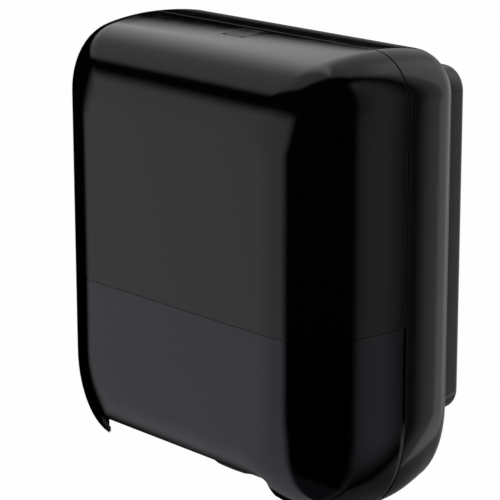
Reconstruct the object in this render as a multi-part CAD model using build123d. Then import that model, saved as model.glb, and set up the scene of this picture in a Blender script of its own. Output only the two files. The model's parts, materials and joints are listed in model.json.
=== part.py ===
from build123d import *
import os
from math import cos, radians, sin, sqrt, tan

# Overall size of the closed dispenser
width = 337.0
height = 372.0
depth = 203.0

# Main splits along the depth, and the walls
housing_depth = 42.0
shell_depth = 64.0
seam_gap = 1.2
window_gap = 3.0
wall = 3.0
split_gap = 0.3

# Housing outline: top corners, lower corners, and the drawn-in front
top_round = 39.0
low_round_x = 46.0
low_round_z = 74.0
front_round = 59.0
front_top_round = 26.0
front_low_round_x = 26.0
front_low_round_z = 38.0
crown_angle = 9.0
crown_steps = 3
nose_steps = 5
shell_low_draft = 6.0
shell_round = 25.0
shell_steps = 4

# Wall housing
housing_side = 41.5
housing_brow = 27.0
housing_chin = 55.0
housing_flare = 3.0
housing_round = 20.0
housing_edge = 5.0
housing_lip = 1.2
boss_r = 5.5
boss_inset = 12.0
wall_hole_side = 73.5
wall_hole_edge = 76.0
wall_hole_r = 3.25

# Window, its lap joint behind the cover, and the towel notch
window_tall = 157.5
lap_deep = 45.5
lap_wall = 2.0
lap_gap = 1.0
lap_joint = 6.0
lap_rib_edge = 6.5
lap_rib_count = 8
lap_rib_width = 3.0
lap_rib_drop = 19.5
lap_rib_height = 13.0
notch_rise = 37.4
notch_round = 15.0
floor_front = 17.5
floor_front_side = 58.5
floor_back = 17.0
floor_back_side = 22.5

# Cover hinge
hinge_back = 12.0
hinge_rise = 16.0
hinge_pin_r = 3.0
ear_side = 47.5
ear_thick = 6.0
ear_r = 6.5
ear_reach = 24.0
ear_root_len = 14.0
ear_rise = 3.0
ear_bite = 0.75
lug_thick = 5.0
side_play = 0.5

# Lock button and latch in the top of the cover
lock_ahead = 18.8
lock_wide = 25.0
lock_long = 23.0
lock_round = 6.0
lock_gap = 0.4
lock_sink = 10.0
lock_flange = 2.5
lock_flange_thick = 2.5
lock_stem_r = 2.0
latch_pivot_back = 20.0
latch_sink = 16.5
latch_thick = 5.0
latch_wide = 16.0
latch_hub_r = 4.5
latch_pin_r = 2.0
latch_lug_gap = 6.0
latch_lug_thick = 4.0
tooth_long = 4.0
tooth_rise = 5.0
tooth_gap = 0.4
catch_wide = 26.0
catch_lip = 3.0
catch_base = 14.0
catch_thick = 2.5

# Towel roll and its holders
roll_r = 95.0
roll_side = 63.5
roll_gap = 3.0
roll_drop = 124.0
core_r = 19.2
hub_nose_r = 16.0
hub_length = 15.0
hub_flange_r = 27.0
hub_flange = 2.5
axle_r = 4.0
axle_end_gap = 0.6
arm_gap = 0.6
arm_thick = 4.0
arm_tip_r = 18.0
arm_base_half = 26.0
arm_pin_r = 2.5
arm_pin_y = -14.0
arm_pin_out = 2.0
knuckle_r = 6.0
knuckle_half = 18.0
foot_thick = 3.0
foot_wide = 8.5

# Feed drum
drum_front = 91.0
drum_rise = 91.0
drum_r = 38.0
drum_wall = 3.0
drum_side = 68.5
disc_thick = 4.0
shaft_r = 4.0
grip_width = 16.0
grip_depth = 1.5
grip_shares = (-0.42, -0.155, 0.155, 0.42)
slot_angle = 225.0
slot_low = -14.0
slot_high = 5.0
slot_end = 2.0

# Cutting knife carried in the drum
knife_pivot_u = 10.0
knife_pivot_v = -20.0
knife_pivot_r = 2.0
knife_hinge_r = 4.5
knife_lean = 37.0
knife_web = 27.0
knife_web_thick = 3.0
knife_reach = 33.2
knife_blade_thick = 1.0
knife_blade_lap = 9.0
tooth_pitch = 7.0
tooth_height = 4.0
knife_play = 0.5
follower_arm = 10.0
follower_r = 3.0
follower_arm_r = 4.0
follower_thick = 2.4

# Side frames
cam_space = 8.0
frame_thick = 3.0
frame_rise = 53.0
frame_foot_drop = 9.0
frame_foot_rise = 45.0
frame_round = 8.0
frame_margin = 3.75
frame_chin = 21.0
frame_brow = 14.0
bush_r = 7.0
bush_flange_r = 9.5
bush_flange = 1.5
clutch_r = 11.0
clutch_thick = 4.0
cam_r = 15.0
cam_lobe_r = 8.0
cam_lobe_out = 12.0
cam_thick = 4.4
tie_r = 4.0
tie_y = -20.0
tie_drop = 13.0

# Drive ends
wheel_r = 32.0
wheel_thick = 12.0
wheel_rim = 6.0
wheel_web = 3.0
wheel_hub_r = 9.0
wheel_screw_head_r = 6.3
wheel_grips = 12
wheel_grip_r = 5.0
wheel_gap = 1.0
crank_r = 17.0
crank_thick = 4.0
crank_gap = 1.5
crank_throw = 12.0
crank_pin_r = 2.5
crank_pin_long = 12.0
post_r = 3.0
post_back = 37.0
post_rise = 38.0
spring_r = 4.0
spring_wire = 0.7
spring_turns = 8
hook_bite = 0.004

# Pressure rollers
roller_r = 11.5
roller_width = 12.0
roller_shares = (-0.31, 0.0, 0.31)
roller_gap = 0.4
roller_shaft_r = 3.0
knife_roller_room = 3.0
press_pivot_back = 64.0
press_pivot_rise = 37.0
press_pivot_r = 3.0
press_tube_r = 5.5
press_arm_r = 6.2
press_arm_thick = 4.0
press_arm_shares = (0.15, 0.43)
press_spring_turns = 4

# Towel chute and drum guard
chute_r = 57.0
chute_thick = 2.5
chute_rear_angle = 330.0
chute_low_angle = 280.0
lip_forward = 37.0
lip_drop = 32.0
lip_bow = 40.0
guard_rear_angle = 110.0
guard_front_angle = 205.0

# Screws, and the fits between pieces
screw_r = 2.0
screw_head_r = 4.0
screw_head = 2.5
screw_bite = 2.4
screw_edge = 6.0
screw_end_gap = 1.0
shell_screw_bite = 10.0
seat_fit = 0.02
run_fit = 0.05

# Places worked out from the sizes above
front_y = -depth
shell_back = -housing_depth
shell_front = shell_back - shell_depth
cover_back = shell_front - seam_gap
window_back = shell_front - window_gap
crown = radians(crown_angle)
nose_start = front_y + front_round * (1 - sin(crown))
cover_draft = (cover_back - nose_start) * tan(crown) / 2
nose_inset = cover_draft + front_round * cos(crown)
round_start = shell_back - shell_round * (1 - sin(crown))
shell_draft = (round_start - shell_front) * tan(crown) / 2
round_inset = shell_draft + shell_round * cos(crown)
housing_half = width / 2 - housing_side
housing_top = height / 2 - housing_brow
housing_low = height / 2 - housing_chin
wall_hole_x = width - 2 * wall_hole_side
wall_hole_z = height - 2 * wall_hole_edge
window_top = -height / 2 + window_tall
lap_low = window_top - lap_deep
lap_rib_z = window_top - lap_rib_drop
lap_rib_pitch = (width - 2 * nose_inset - 2 * lap_rib_edge) / (lap_rib_count - 1)
hinge_y = shell_front + hinge_back
hinge_z = -height / 2 + hinge_rise
ear_x = width / 2 - ear_side
lock_y = cover_back - lock_ahead
lock_low = height / 2 - lock_sink
latch_y = lock_y - latch_pivot_back
latch_z = height / 2 - latch_sink
roll_y = -(wall + roll_gap + roll_r)
roll_z = height / 2 - roll_drop
roll_length = width - 2 * roll_side
notch_half = roll_length / 2
notch_top = -height / 2 + notch_rise
drum_y = front_y + drum_front
drum_z = -height / 2 + drum_rise
drum_length = width - 2 * drum_side
lip_half = drum_length / 2
disc_out = drum_length / 2 + disc_thick
frame_in = disc_out + cam_space
frame_out = frame_in + frame_thick
roller_y = drum_y + drum_r + roller_gap + roller_r
roller_z = drum_z
frame_top = drum_z + frame_rise
frame_foot_low = drum_z - frame_foot_drop
frame_foot_high = drum_z + frame_foot_rise
tie_z = drum_z - tie_drop
post_y = drum_y + post_back
post_z = drum_z + post_rise
press_pivot_y = drum_y + press_pivot_back
press_pivot_z = drum_z + press_pivot_rise
grip_places = [share * drum_length for share in grip_shares]
roller_places = [share * drum_length for share in roller_shares]
press_arm_places = [share * drum_length for share in press_arm_shares]
hub_out = roll_length / 2 + hub_flange
arm_in = hub_out + arm_gap
arm_out = arm_in + arm_thick
arm_pin_x = arm_out + arm_pin_out
foot_y = -wall - foot_thick


def slab(x0, x1, y0, y1, z0, z1):
    """Block between two corners."""
    middle = Pos((x0 + x1) / 2, (y0 + y1) / 2, (z0 + z1) / 2)
    return middle * Box(x1 - x0, y1 - y0, z1 - z0)


def rod(radius, x0, x1, y, z):
    """Round bar along X."""
    return Pos((x0 + x1) / 2, y, z) * Rot(0, 90, 0) * Cylinder(radius, x1 - x0)


def bar_y(radius, x, y0, y1, z):
    """Round bar along Y."""
    return Pos(x, (y0 + y1) / 2, z) * Rot(90, 0, 0) * Cylinder(radius, y1 - y0)


def bar_z(radius, x, y, z0, z1):
    """Round bar along Z."""
    return Pos(x, y, (z0 + z1) / 2) * Cylinder(radius, z1 - z0)


def plate(shape, x0, x1):
    """Plate of a side-view sketch, in Y and Z, from x0 to x1."""
    return extrude(Plane.YZ.offset(x0) * shape, amount=x1 - x0)


def upright(y):
    """Plane facing the front at depth y, with X across and Z up."""
    return Plane(origin=(0, y, 0), x_dir=(1, 0, 0), z_dir=(0, -1, 0))


def disc(radius, y, z):
    """Circle in a side-view sketch."""
    return Pos(y, z) * Circle(radius)


def block(y0, y1, z0, z1):
    """Rectangle in a side-view sketch."""
    return Pos((y0 + y1) / 2, (z0 + z1) / 2) * Rectangle(y1 - y0, z1 - z0)


def hull(*shapes):
    """Outline stretched round several sketch shapes."""
    return make_hull([edge for shape in shapes for edge in shape.edges()])


def both_sides(shape):
    """A right-hand piece together with its left-hand twin."""
    return shape + mirror(shape, about=Plane.YZ)


def round_wire(path, wire):
    """Round wire along a path."""
    return sweep(Plane(origin=path @ 0, z_dir=path % 0) * Circle(wire), path=path)


def coil(start, direction, length, radius, wire, turns):
    """Round-wire spring along a line."""
    path = Helix(pitch=length / turns, height=length, radius=radius, center=start, direction=direction)
    return round_wire(path, wire)


def outline(y, side, top, low, share, inset):
    """Housing outline at depth y, drawn in from its full size by side, top and low."""
    half = width / 2 - side - inset
    high = height / 2 - top - inset
    deep = -height / 2 + low + inset
    corner = top_round + (front_top_round - top_round) * share - inset
    foot_x = low_round_x + (front_low_round_x - low_round_x) * share - inset
    foot_z = low_round_z + (front_low_round_z - low_round_z) * share - inset
    edges = [
        Line((half, deep + foot_z), (half, high - corner)),
        CenterArc((half - corner, high - corner), corner, 0, 90),
        Line((half - corner, high), (corner - half, high)),
        CenterArc((corner - half, high - corner), corner, 90, 90),
        Line((-half, high - corner), (-half, deep + foot_z)),
        EllipticalCenterArc((foot_x - half, deep + foot_z), foot_x, foot_z, 180, arc_size=90),
        Line((foot_x - half, deep), (half - foot_x, deep)),
        EllipticalCenterArc((half - foot_x, deep + foot_z), foot_x, foot_z, 270, arc_size=90),
    ]
    return upright(y) * make_face(edges)


def cover_form(inset):
    """Solid form of the cover: a crowned band from the seam, then a round nose to the flat front."""
    nose_r = front_round - inset
    sections = []
    for step in range(crown_steps):
        y = cover_back + wall + (nose_start - cover_back - wall) * step / crown_steps
        drawn = cover_draft * ((y - cover_back) / (nose_start - cover_back)) ** 2
        sections.append(outline(y, drawn, drawn, drawn, 0, inset))
    for step in range(nose_steps + 1):
        angle = crown + radians(90 - crown_angle) * step / nose_steps
        drawn = nose_inset - inset - nose_r * cos(angle)
        y = front_y + front_round - nose_r * sin(angle)
        share = 1 - cos(angle) / cos(crown)
        sections.append(outline(y, drawn, drawn, drawn, share, inset))
    return loft(sections)


def shell_form(inset):
    """Solid form of the rear shell: a crowned band from the seam, then a round edge to its flat back."""
    edge_r = shell_round - inset
    sections = []
    for step in range(crown_steps):
        y = shell_front - wall + (round_start - shell_front + wall) * step / crown_steps
        along = (y - shell_front) / (round_start - shell_front)
        sections.append(outline(y, 0, 0, shell_low_draft * along**2, 0, inset + shell_draft * along**2))
    for step in range(shell_steps + 1):
        angle = crown + radians(90 - crown_angle) * step / shell_steps
        drawn = round_inset - edge_r * cos(angle)
        y = shell_back - shell_round + edge_r * sin(angle)
        sections.append(outline(y, 0, 0, shell_low_draft, 0, drawn))
    return loft(sections)


def housing_form(inset):
    """Solid form of the wall housing, flaring from the wall to the rear shell."""
    middle = (housing_top - housing_low) / 2
    tall = housing_top + housing_low - 2 * inset
    back = -inset
    front = shell_back if inset == 0 else shell_back - wall
    wide = 2 * (housing_half - inset)
    rear = Pos(0, middle) * RectangleRounded(wide, tall, housing_round - inset)
    grown = 2 * housing_flare
    face = Pos(0, middle) * RectangleRounded(wide + grown, tall + grown, housing_round - inset)
    return loft([upright(back) * rear, upright(front) * face], ruled=True)


# Wall housing: the deep tray that screws to the wall and carries everything else
boss_places = []
for boss_x in (-housing_half + boss_inset, housing_half - boss_inset):
    for boss_z in (-housing_low + boss_inset, housing_top - boss_inset):
        boss_places.append((boss_x, boss_z))

frame_screw_places = []
for screw_z in (frame_foot_low + screw_edge, frame_foot_high - screw_edge):
    frame_screw_places.append((frame_out + foot_wide / 2, screw_z))
    frame_screw_places.append((-frame_out - foot_wide / 2, screw_z))

arm_foot_x = arm_out + foot_wide / 2
arm_screw_places = []
for screw_z in (roll_z - arm_base_half + screw_edge, roll_z + arm_base_half - screw_edge):
    arm_screw_places.append((-arm_foot_x, screw_z))
bracket_half = knuckle_half + side_play + lug_thick + 2 * screw_edge
for screw_z in (roll_z - bracket_half + screw_edge, roll_z + bracket_half - screw_edge):
    arm_screw_places.append((arm_pin_x, screw_z))

housing_inner = housing_form(wall)
wall_housing = housing_form(0)
wall_housing = fillet(wall_housing.faces().sort_by(Axis.Y)[-1].edges(), housing_edge)
wall_housing = fillet(wall_housing.faces().sort_by(Axis.Y)[0].edges(), housing_lip)
wall_housing -= housing_inner
for boss_x, boss_z in boss_places:
    column = bar_y(boss_r, boss_x, shell_back, -wall / 2, boss_z)
    column -= bar_y(screw_r + seat_fit, boss_x, shell_back, shell_back + shell_screw_bite + screw_end_gap, boss_z)
    wall_housing += column
for hole_x in (-wall_hole_x / 2, wall_hole_x / 2):
    for hole_z in (-wall_hole_z / 2, wall_hole_z / 2):
        wall_housing -= bar_y(wall_hole_r, hole_x, -2 * wall, wall, hole_z)
for screw_x, screw_z in frame_screw_places + arm_screw_places:
    wall_housing -= bar_y(screw_r + seat_fit, screw_x, -2 * wall, screw_bite - wall, screw_z)

# Rear shell: the fixed half of the casing, with the hinge lugs in its floor
shell_solid = shell_form(0) & slab(-width, width, shell_front, shell_back, -height, height)
rear_shell = shell_solid - shell_form(wall)
doorway = extrude(housing_inner.faces().sort_by(Axis.Y)[0], amount=4 * wall, both=True)
tab_r = screw_head_r + wall
for boss_x, boss_z in boss_places:
    tab_x = boss_x + (2 * boss_inset if boss_x > 0 else -2 * boss_inset)
    tab = hull(Pos(boss_x, boss_z) * Circle(tab_r), Pos(tab_x, boss_z) * Circle(tab_r))
    doorway -= extrude(upright(shell_back) * tab, amount=8 * wall, both=True)
rear_shell -= doorway
for boss_x, boss_z in boss_places:
    rear_shell -= bar_y(screw_r + seat_fit, boss_x, shell_back - 2 * wall, shell_back + wall, boss_z)

ear_half = ear_thick / 2 + side_play
lug_shape = hull(
    disc(ear_r, hinge_y, hinge_z),
    block(hinge_y - ear_r, hinge_y + ear_r, -height / 2, hinge_z - ear_r),
)
lugs = plate(lug_shape, ear_x - ear_half - lug_thick, ear_x - ear_half)
lugs += plate(lug_shape, ear_x + ear_half, ear_x + ear_half + lug_thick)
lugs = both_sides(lugs)
for lug in lugs.solids():
    rear_shell += lug & shell_solid
ear_floor = -height / 2 + wall - ear_bite
ear_sweep = hinge_y + hinge_z - ear_floor + ear_rise
ear_slot = slab(ear_x - ear_half, ear_x + ear_half, cover_back, ear_sweep, -height, hinge_z + ear_r)
rear_shell -= both_sides(ear_slot)
pin_seat = rod(hinge_pin_r + seat_fit, ear_x - ear_half - lug_thick, ear_x + ear_half + lug_thick, hinge_y, hinge_z)
rear_shell -= both_sides(pin_seat)

hinge_pin = rod(hinge_pin_r, ear_x - ear_half - lug_thick, ear_x + ear_half + lug_thick, hinge_y, hinge_z)
hinge_pins = both_sides(hinge_pin)

# Screws that hold the rear shell to the wall housing
shell_screws = Part()
for boss_x, boss_z in boss_places:
    under = shell_back - wall
    shell_screws += bar_y(screw_head_r, boss_x, under - screw_head, under, boss_z)
    shell_screws += bar_y(screw_r, boss_x, under, shell_back + shell_screw_bite, boss_z)

# Cover: the opaque upper skin, lapped behind the window
cover_solid = cover_form(0) & slab(-width, width, -2 * depth, cover_back, -height, height)
cover_inner = cover_form(wall)
skin = cover_solid - cover_inner
lap_face = cover_form(wall + lap_gap)
lap_inner = cover_form(wall + lap_gap + lap_wall)
front_cover = skin & slab(-width, width, -2 * depth, 0, window_top, height)
lap_band = slab(-width, width, -2 * depth, cover_back, lap_low, window_top + lap_joint)
joint_band = slab(-width, width, -2 * depth, cover_back, window_top, window_top + lap_joint)
front_cover += (lap_face - lap_inner) & lap_band
front_cover += (cover_inner - lap_face) & joint_band
for index in range(lap_rib_count):
    rib_x = (index - (lap_rib_count - 1) / 2) * lap_rib_pitch
    rib_front = front_y + wall
    rib = slab(
        rib_x - lap_rib_width / 2,
        rib_x + lap_rib_width / 2,
        rib_front,
        rib_front + lap_gap + lap_wall / 2,
        lap_rib_z - lap_rib_height / 2,
        lap_rib_z + lap_rib_height / 2,
    )
    front_cover += rib

lock_hole = RectangleRounded(lock_wide + 2 * lock_gap, lock_long + 2 * lock_gap, lock_round + lock_gap)
front_cover -= extrude(Plane.XY.offset(lock_low) * Pos(0, lock_y) * lock_hole, amount=height)
latch_half = latch_wide / 2 + latch_lug_gap
latch_lug = hull(
    disc(latch_hub_r, latch_y, latch_z),
    block(latch_y - 2 * latch_hub_r, latch_y + latch_hub_r, height / 2 - 3 * wall, height / 2 - wall),
)
latch_lugs = both_sides(plate(latch_lug, latch_half, latch_half + latch_lug_thick))
front_cover += latch_lugs & cover_solid
latch_pin_end = latch_half + latch_lug_thick
front_cover -= rod(latch_pin_r + seat_fit, -latch_pin_end, latch_pin_end, latch_y, latch_z)

# Window: the smoked lower skin with its towel notch and hinge ears
window = skin & slab(-width, width, -2 * depth, window_back, -height, window_top - split_gap)
notch_tall = height / 2 + notch_top + notch_round
notch = Pos(0, notch_top - notch_tall / 2) * Rectangle(2 * notch_half, notch_tall)
notch = fillet(notch.vertices().group_by(Axis.Y)[-1], notch_round)
window -= extrude(upright(0) * notch, amount=2 * depth)
open_front = width / 2 - floor_front_side
open_back = width / 2 - floor_back_side
opening = Polyline(
    (-open_front, front_y + floor_front),
    (open_front, front_y + floor_front),
    (open_back, window_back - floor_back),
    (-open_back, window_back - floor_back),
    close=True,
)
window -= extrude(Plane.XY.offset(-height) * make_face(opening), amount=height + notch_top)
ear_front = hinge_y - ear_reach
ear_shape = hull(
    disc(ear_r, hinge_y, hinge_z),
    block(ear_front - ear_root_len / 2, ear_front + ear_root_len / 2, ear_floor, hinge_z + ear_rise),
)
ear = plate(ear_shape, ear_x - ear_thick / 2, ear_x + ear_thick / 2)
ear -= rod(hinge_pin_r + run_fit, ear_x - ear_thick, ear_x + ear_thick, hinge_y, hinge_z)
window += both_sides(ear)

# Lock button, flush with the top of the cover
button_plan = Pos(0, lock_y) * RectangleRounded(lock_wide, lock_long, lock_round)
flange_plan = Pos(0, lock_y) * RectangleRounded(
    lock_wide + 2 * lock_flange, lock_long + 2 * lock_flange, lock_round + lock_flange
)
lock_button = extrude(Plane.XY.offset(lock_low) * button_plan, amount=height) & cover_solid
lock_button += extrude(Plane.XY.offset(lock_low) * flange_plan, amount=lock_flange_thick)
latch_top = latch_z + latch_thick / 2
lock_button += bar_z(lock_stem_r, 0, lock_y, latch_top + split_gap, lock_low)

# Latch lever under the button, its pin and return spring
tooth_back = shell_front + catch_base
tooth_front = tooth_back - tooth_long
lever_shape = hull(
    disc(latch_hub_r, latch_y, latch_z),
    block(latch_y, latch_y + latch_hub_r, latch_z - latch_thick / 2, latch_top),
)
lever_shape += block(latch_y, tooth_back, latch_z - latch_thick / 2, latch_top)
lever_shape += block(tooth_front, tooth_back, latch_z, latch_top + tooth_rise)
latch_lever = plate(lever_shape, -latch_wide / 2, latch_wide / 2)
latch_lever -= rod(latch_pin_r + run_fit, -latch_wide, latch_wide, latch_y, latch_z)
latch_pin = rod(latch_pin_r, -latch_pin_end, latch_pin_end, latch_y, latch_z)
latch_spring_r = latch_pin_r + spring_wire + 2 * run_fit + split_gap
latch_spring = coil(
    (latch_wide / 2 + spring_wire + split_gap, latch_y, latch_z),
    (1, 0, 0),
    latch_lug_gap - 2 * spring_wire - 2 * split_gap,
    latch_spring_r,
    spring_wire,
    press_spring_turns - 1,
)

# Catch in the roof of the rear shell
catch_top = height / 2 - wall / 2
catch_front = tooth_front - catch_lip - split_gap
catch_half = catch_wide / 2
latch_catch = slab(
    -catch_half, catch_half, catch_front, catch_front + catch_lip, latch_top + tooth_rise + tooth_gap, catch_top
)
catch_roof = height / 2 - wall - catch_thick
latch_catch += slab(-catch_half, catch_half, catch_front, catch_front + catch_base, catch_roof, catch_top)
latch_catch -= rear_shell

# Side frames that carry the feed drum
frame_front = drum_y - chute_r - frame_margin
frame_low = drum_z - chute_r - frame_margin
frame_points = [
    (-wall, frame_top),
    (-wall, frame_foot_low - frame_round),
    (shell_back - 2 * frame_round, frame_foot_low - frame_round),
    (drum_y + drum_r, frame_low),
    (drum_y - drum_r, frame_low),
    (frame_front, drum_z - frame_chin),
    (frame_front, drum_z + frame_brow),
    (drum_y - drum_r, frame_top),
]
frame_shape = make_face(Polyline(*frame_points, close=True))
inner_points = [corner for corner in frame_shape.vertices() if corner.X < shell_back / 2]
frame_shape = fillet(inner_points, frame_round)
frame_shape -= disc(bush_r + seat_fit, drum_y, drum_z)
frame_shape -= disc(press_pivot_r + run_fit, press_pivot_y, press_pivot_z)
frame_plate = plate(frame_shape, frame_in, frame_out)
frame_plate += slab(frame_out, frame_out + foot_wide, foot_y, -wall, frame_foot_low, frame_foot_high)
for screw_x, screw_z in frame_screw_places:
    frame_plate -= bar_y(screw_r + seat_fit, screw_x, 2 * foot_y, 0, screw_z)
side_frame_right = frame_plate
side_frame_left = mirror(frame_plate, about=Plane.YZ)
frame_tie = rod(tie_r, -frame_in, frame_in, tie_y, tie_z)

frame_screws = Part()
for screw_x, screw_z in frame_screw_places:
    frame_screws += bar_y(screw_head_r, screw_x, foot_y - screw_head, foot_y, screw_z)
    frame_screws += bar_y(screw_r, screw_x, foot_y, screw_bite - wall, screw_z)

bush_end = frame_out + bush_flange
bush = rod(bush_r, frame_in, frame_out, drum_y, drum_z)
bush += rod(bush_flange_r, frame_out, bush_end, drum_y, drum_z)
bush -= rod(shaft_r + run_fit, frame_in, bush_end, drum_y, drum_z)
drum_bush_right = bush
drum_bush_left = mirror(bush, about=Plane.YZ)
clutch_out = bush_end + clutch_thick
one_way_clutch = rod(clutch_r, bush_end, clutch_out, drum_y, drum_z)
one_way_clutch -= rod(shaft_r + run_fit, bush_end, clutch_out, drum_y, drum_z)

# Drum sketches are drawn in a plane whose first axis runs out through the knife slot
drum_plane = Plane(
    origin=(0, drum_y, drum_z),
    x_dir=(0, cos(radians(slot_angle)), sin(radians(slot_angle))),
    z_dir=(1, 0, 0),
)


def drum_slice(shape, x0, x1):
    """Drum-plane sketch stretched from x0 to x1."""
    return extrude(drum_plane.offset(x0) * shape, amount=x1 - x0)


# Feed drum: slotted tube, end discs, shaft and rubber grips
half_drum = drum_length / 2
slot_shape = Pos(drum_r, (slot_low + slot_high) / 2) * Rectangle(drum_r, slot_high - slot_low)
slot_cut = drum_slice(slot_shape, slot_end - half_drum, half_drum - slot_end)
drum_shell = drum_slice(Circle(drum_r) - Circle(drum_r - drum_wall), -half_drum, half_drum)
drum_grips = Part()
for place in grip_places:
    ring = Circle(drum_r) - Circle(drum_r - grip_depth)
    band = drum_slice(ring, place - grip_width / 2, place + grip_width / 2)
    drum_shell -= band
    drum_grips += band - slot_cut
drum_shell -= slot_cut
knife_pivot_at = Pos(knife_pivot_u, knife_pivot_v)
disc_shape = Circle(drum_r) - Circle(shaft_r + seat_fit) - knife_pivot_at * Circle(knife_pivot_r + run_fit)
drum_end_right = drum_slice(disc_shape, half_drum, disc_out)
drum_end_left = drum_slice(disc_shape, -disc_out, -half_drum)

# Handwheel on the right end of the shaft, crank on the left
wheel_in = clutch_out + wheel_gap
wheel_out = wheel_in + wheel_thick
handwheel = rod(wheel_r, wheel_in, wheel_out, drum_y, drum_z)
handwheel -= rod(wheel_r - wheel_rim, wheel_in + wheel_web, wheel_out, drum_y, drum_z)
handwheel += rod(wheel_hub_r, wheel_in, wheel_out, drum_y, drum_z)
handwheel -= rod(shaft_r + seat_fit, wheel_in, wheel_out, drum_y, drum_z)
for index in range(wheel_grips):
    turn = radians(360 * index / wheel_grips)
    out = wheel_r + wheel_grip_r / 2
    grip_y = drum_y + out * cos(turn)
    grip_z = drum_z + out * sin(turn)
    handwheel -= rod(wheel_grip_r, wheel_in, wheel_out, grip_y, grip_z)
handwheel_screw = rod(wheel_screw_head_r, wheel_out, wheel_out + screw_head, drum_y, drum_z)
handwheel_screw += rod(screw_r, wheel_out - shell_screw_bite, wheel_out, drum_y, drum_z)

crank_in = bush_end + crank_gap
crank_out = crank_in + crank_thick
shaft_left = -crank_out
drum_shaft = rod(shaft_r, shaft_left, wheel_out, drum_y, drum_z)
drum_shaft -= rod(screw_r + seat_fit, wheel_out - shell_screw_bite - screw_end_gap, wheel_out, drum_y, drum_z)
crank_disc = rod(crank_r, -crank_out, -crank_in, drum_y, drum_z)
crank_disc -= rod(shaft_r + seat_fit, -crank_out, -crank_in, drum_y, drum_z)
crank_disc -= rod(crank_pin_r + seat_fit, -crank_out, -crank_in, drum_y, drum_z + crank_throw)
crank_pin = rod(crank_pin_r, -crank_out - crank_pin_long, -crank_in, drum_y, drum_z + crank_throw)

# Return spring from the crank pin to a post on the left side frame
spring_post = rod(post_r, -crank_out - crank_pin_long, -frame_out, post_y, post_z)
spring_x = -crank_out - crank_pin_long / 2
pin_at = Vector(spring_x, drum_y, drum_z + crank_throw)
post_at = Vector(spring_x, post_y, post_z)
spring_way = (post_at - pin_at).normalized()
pin_eye_r = crank_pin_r + spring_wire + split_gap
post_eye_r = post_r + spring_wire + split_gap
pin_hook = pin_at + spring_way * pin_eye_r
post_hook = post_at - spring_way * post_eye_r
hook_long = spring_r
spring_span = (post_hook - pin_hook).length - 2 * hook_long
spring_helix = Helix(
    pitch=spring_span / spring_turns,
    height=spring_span,
    radius=spring_r,
    center=pin_hook + spring_way * hook_long,
    direction=spring_way,
)
pin_end = Pos(*pin_at) * Rot(0, 90, 0) * Torus(pin_eye_r, spring_wire)
pin_end += round_wire(Line(pin_hook, spring_helix @ hook_bite), spring_wire)
post_end = Pos(*post_at) * Rot(0, 90, 0) * Torus(post_eye_r, spring_wire)
post_end += round_wire(Line(post_hook, spring_helix @ (1 - hook_bite)), spring_wire)
return_spring = round_wire(spring_helix, spring_wire) + pin_end + post_end

# Knife: hinged carrier in the drum, toothed blade, pivot and cam follower
web_at = knife_pivot_at * Rot(0, 0, knife_lean)
web_shape = web_at * Pos(knife_web / 2, 0) * Rectangle(knife_web, knife_web_thick)
bore_shape = knife_pivot_at * Circle(knife_pivot_r + seat_fit)
tube_end = half_drum - knife_play
knife_carrier = drum_slice(web_shape - bore_shape, 2 * slot_end - half_drum, half_drum - 2 * slot_end)
knife_carrier += drum_slice(knife_pivot_at * Circle(knife_hinge_r) - bore_shape, -tube_end, tube_end)
knife_carrier -= drum_slice(bore_shape, -half_drum, half_drum)
pivot_left = -disc_out - knife_play - follower_thick
knife_pivot = drum_slice(knife_pivot_at * Circle(knife_pivot_r), pivot_left, disc_out)

blade_half = half_drum - 2 * slot_end
blade_root = knife_web - knife_blade_lap
blade_low = knife_reach - tooth_height
roller_room = roller_width / 2 + knife_roller_room
blade_points = [(-blade_half, blade_root), (blade_half, blade_root), (blade_half, blade_low)]
tooth_total = int(2 * blade_half / tooth_pitch)
for index in range(tooth_total):
    tooth_x = blade_half - (index + 0.5) * tooth_pitch
    near_roller = any(abs(tooth_x - place) < roller_room + tooth_pitch / 2 for place in roller_places)
    if not near_roller:
        blade_points.append((tooth_x + tooth_pitch / 2, blade_low))
        blade_points.append((tooth_x, knife_reach))
        blade_points.append((tooth_x - tooth_pitch / 2, blade_low))
blade_points.append((-blade_half, blade_low))
blade_line = [blade_points[0]]
for point in blade_points[1:]:
    if (Vector(*point) - Vector(*blade_line[-1])).length > split_gap:
        blade_line.append(point)
pivot_centre = drum_plane.from_local_coords((knife_pivot_u, knife_pivot_v, 0))
web_turn = radians(slot_angle + knife_lean)
web_normal = (0, -sin(web_turn), cos(web_turn))
blade_plane = Plane(origin=pivot_centre, x_dir=(1, 0, 0), z_dir=web_normal).offset(knife_web_thick / 2)
blade_face = make_face(Polyline(*blade_line, close=True))
for place in roller_places:
    gap_mid = (knife_web + knife_reach) / 2 + knife_play
    blade_face -= Pos(place, gap_mid) * Rectangle(2 * roller_room, knife_reach - knife_web)
knife_blade = extrude(blade_plane * blade_face, amount=knife_blade_thick)

pivot_out = sqrt(knife_pivot_u**2 + knife_pivot_v**2)
follow_u = knife_pivot_u - follower_arm * knife_pivot_v / pivot_out
follow_v = knife_pivot_v + follower_arm * knife_pivot_u / pivot_out
follow_at = Pos(follow_u, follow_v)
follow_shape = hull(knife_pivot_at * Circle(follower_arm_r), follow_at * Circle(follower_r))
follow_shape -= knife_pivot_at * Circle(knife_pivot_r + seat_fit)
knife_follower = drum_slice(follow_shape, pivot_left, pivot_left + follower_thick)
follower_out = frame_in - knife_play
knife_follower += drum_slice(follow_at * Circle(follower_r), -follower_out, pivot_left)

# Fixed cam on the left side frame, which pushes the follower
cam_shape = hull(Circle(cam_r), Pos(cam_lobe_out, 0) * Circle(cam_lobe_r)) - Circle(shaft_r + wall / 2)
knife_cam = drum_slice(cam_shape, -frame_in, -frame_in + cam_thick)

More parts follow.
